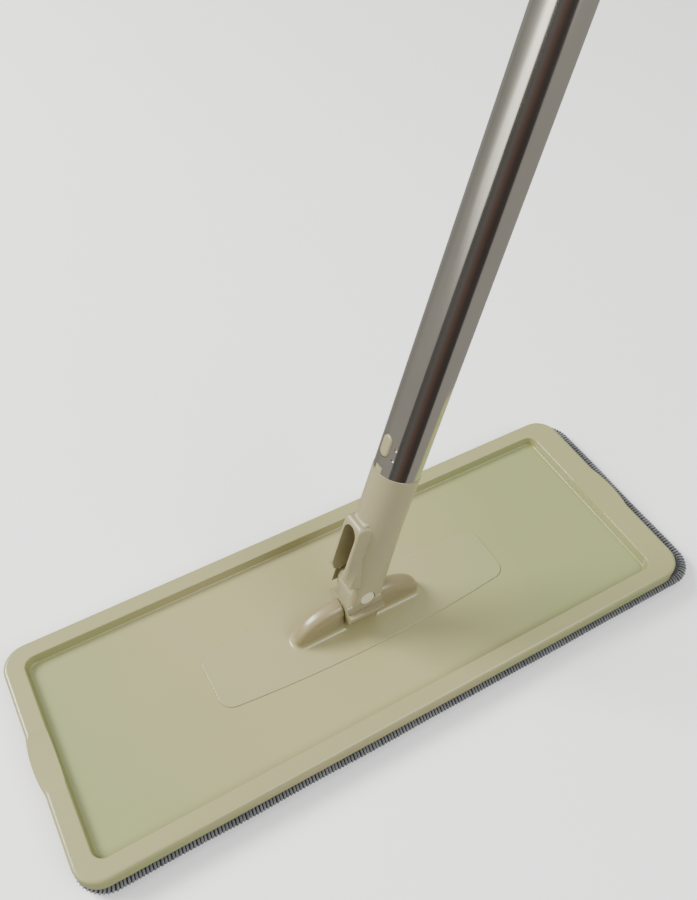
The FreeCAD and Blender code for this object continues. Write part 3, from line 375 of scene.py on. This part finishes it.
def mesh_object(name, verts, faces, material):
    """New smooth mesh in the row frame that rides on the pad."""
    mesh = bpy.data.meshes.new(name)
    mesh.from_pydata([tuple(v) for v in verts], [], faces)
    mesh.polygons.foreach_set("use_smooth", [True] * len(mesh.polygons))
    mesh.update()
    obj = bpy.data.objects.new(name, mesh)
    bpy.context.scene.collection.objects.link(obj)
    obj.data.materials.append(material)
    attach(obj, "pad")
    return obj


def ring_mesh(name, count, section, material):
    """Closed tube-like mesh: section(i) gives the ring of points at step i of count."""
    rings = [section(i) for i in range(count)]
    sides = len(rings[0])
    verts = [point for ring in rings for point in ring]
    faces = []
    for i in range(count):
        j = (i + 1) % count
        for k in range(sides):
            m = (k + 1) % sides
            faces.append((i * sides + k, j * sides + k, j * sides + m, i * sides + m))
    return mesh_object(name, verts, faces, material)


def wave(s, total, seed):
    """Smooth closed random wave round the outline, about -1 to 1."""
    rng = random.Random(seed)
    value = 0
    for k in range(1, WAVE_TERMS + 1):
        phase = rng.uniform(0, 6.3)
        value += math.sin(TURN * (3 * k + seed % 3) * s / total + phase) / WAVE_TERMS
    return value


def edge_path(step):
    """Outline that the rolled edge follows, and its length."""
    inset = ROLL_HALF_W + 2 * THREAD_CLEAR
    return outline(PAD_LENGTH / 2 - inset, PAD_WIDTH / 2 - inset, PAD_CORNER - inset, step)


def edge_centre(point, normal, s, total):
    """Middle of the rolled edge, which wanders a little."""
    drift = ROLL_DRIFT * wave(s, total, 4)
    lift = ROLL_LIFT * wave(s, total, 7)
    return point + Vector((PAD_SHIFT, 0, ROLL_Z)) + normal * drift + Vector((0, 0, lift))


def edge_core(material):
    """Rolled cloth edge."""
    path, total = edge_path(ROLL_STEP)

    def section(i):
        point, normal = path[i]
        middle = edge_centre(point, normal, i / len(path) * total, total)
        ring = []
        for k in range(ROLL_SIDES):
            a = TURN * k / ROLL_SIDES
            ring.append(middle + normal * (ROLL_HALF_W * math.cos(a))
                        + Vector((0, 0, ROLL_HALF_H * math.sin(a))))
        return ring

    return ring_mesh("pad_edge_core", len(path), section, material)


def overlock_thread(material):
    """One thread wound round the rolled edge, each turn a little out of place."""
    path, total = edge_path(STITCH_PITCH / THREAD_STEPS)
    turns = round(len(path) / THREAD_STEPS)
    rng = random.Random(11)
    slips = [THREAD_SLIP * rng.uniform(-1, 1) for _ in range(turns + 1)]
    line = []
    for i, (point, normal) in enumerate(path):
        wound = i / len(path) * turns
        angle = TURN * wound
        middle = edge_centre(point, normal, i / len(path) * total, total)
        slip = Vector((-normal.y, normal.x, 0)) * slips[int(wound)]
        line.append(middle + slip + normal * ((ROLL_HALF_W + THREAD_CLEAR) * math.cos(angle))
                    + Vector((0, 0, (ROLL_HALF_H + THREAD_CLEAR) * math.sin(angle))))
    count = len(line)
    corners = [TURN * k / THREAD_SIDES for k in range(THREAD_SIDES)]

    def section(i):
        here = line[i]
        tangent = (line[(i + 1) % count] - line[i - 1]).normalized()
        side = tangent.cross(UP)
        if side.length < UPRIGHT:
            side = tangent.cross(Vector((1, 0, 0)))
        side.normalize()
        other = tangent.cross(side)
        return [here + side * (THREAD_HALF_W * math.cos(a)) + other * (THREAD_HALF_T * math.sin(a))
                for a in corners]

    return ring_mesh("pad_overlock_thread", count, section, material)


def round_corner(x, y, half_x, half_y, corner):
    """Point of a square grid, drawn in where the panel's corner is round."""
    over_x = abs(x) - (half_x - corner)
    over_y = abs(y) - (half_y - corner)
    if over_x > 0 and over_y > 0:
        pull = max(over_x, over_y) / math.hypot(over_x, over_y)
        x = math.copysign(half_x - corner + over_x * pull, x)
        y = math.copysign(half_y - corner + over_y * pull, y)
    return x, y


def field(name, inset, z_at, plain_z, material, step, top_side):
    """Cloth panel inside the edge: a shaped face, its plain back and the edge between.

    The shaped face looks up where top_side is true, and down where it is false.
    """
    half_x, half_y = PAD_LENGTH / 2 - inset, PAD_WIDTH / 2 - inset
    nx, ny = round(2 * half_x / step), round(2 * half_y / step)
    verts, faces = [], []
    for side in (0, 1):
        for j in range(ny + 1):
            for i in range(nx + 1):
                x = -half_x + 2 * half_x * i / nx
                y = -half_y + 2 * half_y * j / ny
                x, y = round_corner(x, y, half_x, half_y, PAD_CORNER - inset)
                z = z_at(x, y) if side == 0 else plain_z
                verts.append(Vector((x + PAD_SHIFT, y, z)))
    layer = (nx + 1) * (ny + 1)

    def at(i, j, side):
        return side * layer + j * (nx + 1) + i

    for side in (0, 1):
        for j in range(ny):
            for i in range(nx):
                quad = (at(i, j, side), at(i + 1, j, side), at(i + 1, j + 1, side),
                        at(i, j + 1, side))
                faces.append(quad if (side == 0) == top_side else quad[::-1])
    for i in range(nx):
        for j, flip in ((0, False), (ny, True)):
            quad = (at(i, j, 0), at(i + 1, j, 0), at(i + 1, j, 1), at(i, j, 1))
            faces.append(quad if flip == top_side else quad[::-1])
    for j in range(ny):
        for i, flip in ((0, True), (nx, False)):
            quad = (at(i, j, 0), at(i, j + 1, 0), at(i, j + 1, 1), at(i, j, 1))
            faces.append(quad if flip == top_side else quad[::-1])
    return mesh_object(name, verts, faces, material)


def pile_height(x, y):
    """Underside of the pile: wandering rows of soft loops, staggered from row to row."""
    wander = PILE_WANDER * math.sin(x * PILE_WANDER_RATE)
    row = math.sin(TURN * (y + wander) / PILE_ROW_PITCH)
    loop = math.sin(TURN * x / PILE_LOOP_PITCH + (PILE_STAGGER if row > 0 else 0))
    return PILE_UNDER - PILE_ROW_DEPTH * row - PILE_LOOP_DEPTH * loop


def loop_height(x, y):
    """Upper face of the backing: knitted ribs."""
    rib = math.sin(TURN * x / LOOP_RIB_PITCH)
    row = math.sin(TURN * y / LOOP_ROW_PITCH)
    return LOOP_TOP + LOOP_RIB_DEPTH * rib + LOOP_ROW_DEPTH * row


def foam_height(x, y):
    """Upper face of the foam core."""
    return FOAM_TOP + FOAM_SWELL * math.sin(x * FOAM_RATE_X) * math.sin(y * FOAM_RATE_Y)


def make_pad():
    """Every cloth piece of the pad, riding on its body."""
    core = edge_core(fabric_edge)
    thread = overlock_thread(thread_grey)
    step = PILE_STEP
    pile = field("microfibre_pile", PILE_INSET, pile_height, PILE_TOP, fabric_pile, step, False)
    foam = field("foam_core", FOAM_INSET, foam_height, FOAM_UNDER, foam_look, FOAM_STEP, True)
    back = field("loop_cloth", LOOP_INSET, loop_height, LOOP_UNDER, fabric_loop,
                 max(step, LOOP_STEP), True)
    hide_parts("pad_binding")
    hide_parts("pad_pile")
    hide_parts("pad_foam")
    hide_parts("pad_backing")


# ---- snap button's leaf -----------------------------------------------------------------
def button_leaf():
    """Copy of the spring's mesh behind the snap button, riding on the pole."""
    leaf = bpy.data.objects.new("button_leaf", frame["nodes"]["button_spring"].data.copy())
    bpy.context.scene.collection.objects.link(leaf)
    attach(leaf, "pole")
    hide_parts("button_spring")
    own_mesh(leaf)


# ---- floor, light, camera ---------------------------------------------------------------
def floor():
    """Pale seamless floor, left out of reflections."""
    bpy.ops.mesh.primitive_plane_add(size=FLOOR_SIZE, location=(0, 0, FLOOR_Z))
    plane = bpy.context.object
    plane.name = "floor"
    g = Look("floor")
    tone = g.ramp(g.noise(scale=3.0), [(0.3, (0.93, 0.93, 0.93)), (0.7, (0.95, 0.95, 0.95))])
    g.set(Base_Color=tone, Roughness=0.6)
    plane.data.materials.append(g.material)
    plane.visible_glossy = False


def area(name, place, size, power, colour=(1, 1, 1)):
    """Soft rectangular light aimed at the origin."""
    data = bpy.data.lights.new(name, "AREA")
    data.shape = "RECTANGLE"
    data.size, data.size_y = size
    data.energy = power
    data.color = colour
    lamp = bpy.data.objects.new(name, data)
    lamp.location = place
    lamp.rotation_euler = (-Vector(place)).to_track_quat("-Z", "Y").to_euler()
    bpy.context.scene.collection.objects.link(lamp)


def studio():
    """Soft ceiling over a room whose walls differ in tone all round, and two soft lamps."""
    world = bpy.data.worlds.new("studio")
    bpy.context.scene.world = world
    world.use_nodes = True
    g = Graph(world.node_tree, "Generated")
    sector = g.add("ShaderNodeTexGradient", Vector=g.place)
    sector.gradient_type = "RADIAL"
    walls = g.ramp(sector.outputs["Fac"], WALL_BANDS)
    height = g.add("ShaderNodeSeparateXYZ", Vector=g.place).outputs["Z"]
    limit = g.span(height, 0.30, 2.8, 0.0, 0.27)
    limit = g.math("MULTIPLY", limit, LOW_WALL_TINT, "ShaderNodeVectorMath")
    walls = g.math("MINIMUM", walls, limit, "ShaderNodeVectorMath")
    overhead = g.span(height, 0.0, 1.0, 0.45, 0.85)
    background = g.nodes["Background"]
    g.put(background.inputs["Color"], g.blend(overhead, walls, CEILING))
    g.put(background.inputs["Strength"], 1.0)
    area("key", (-1.2, 1.1, 1.35), (0.9, 0.7), 86, (1.0, 0.98, 0.94))
    area("fill", (0.6, -1.3, 1.6), (1.4, 1.0), 33)


def camera():
    """View of the photograph."""
    data = bpy.data.cameras.new("camera")
    data.sensor_width = CAMERA_SENSOR
    data.lens = CAMERA_LENS
    data.clip_start = CAMERA_NEAR
    cam = bpy.data.objects.new("camera", data)
    back = Vector(CAMERA_BACK).normalized()
    up = back.cross(Vector(CAMERA_RIGHT)).normalized()
    right = up.cross(back)
    turn = Matrix((right, up, back)).transposed().to_4x4()
    cam.matrix_world = Matrix.Translation(CAMERA_PLACE) @ turn
    bpy.context.scene.collection.objects.link(cam)
    bpy.context.scene.camera = cam


dress_nodes()
make_pad()
button_leaf()
floor()
studio()
camera()
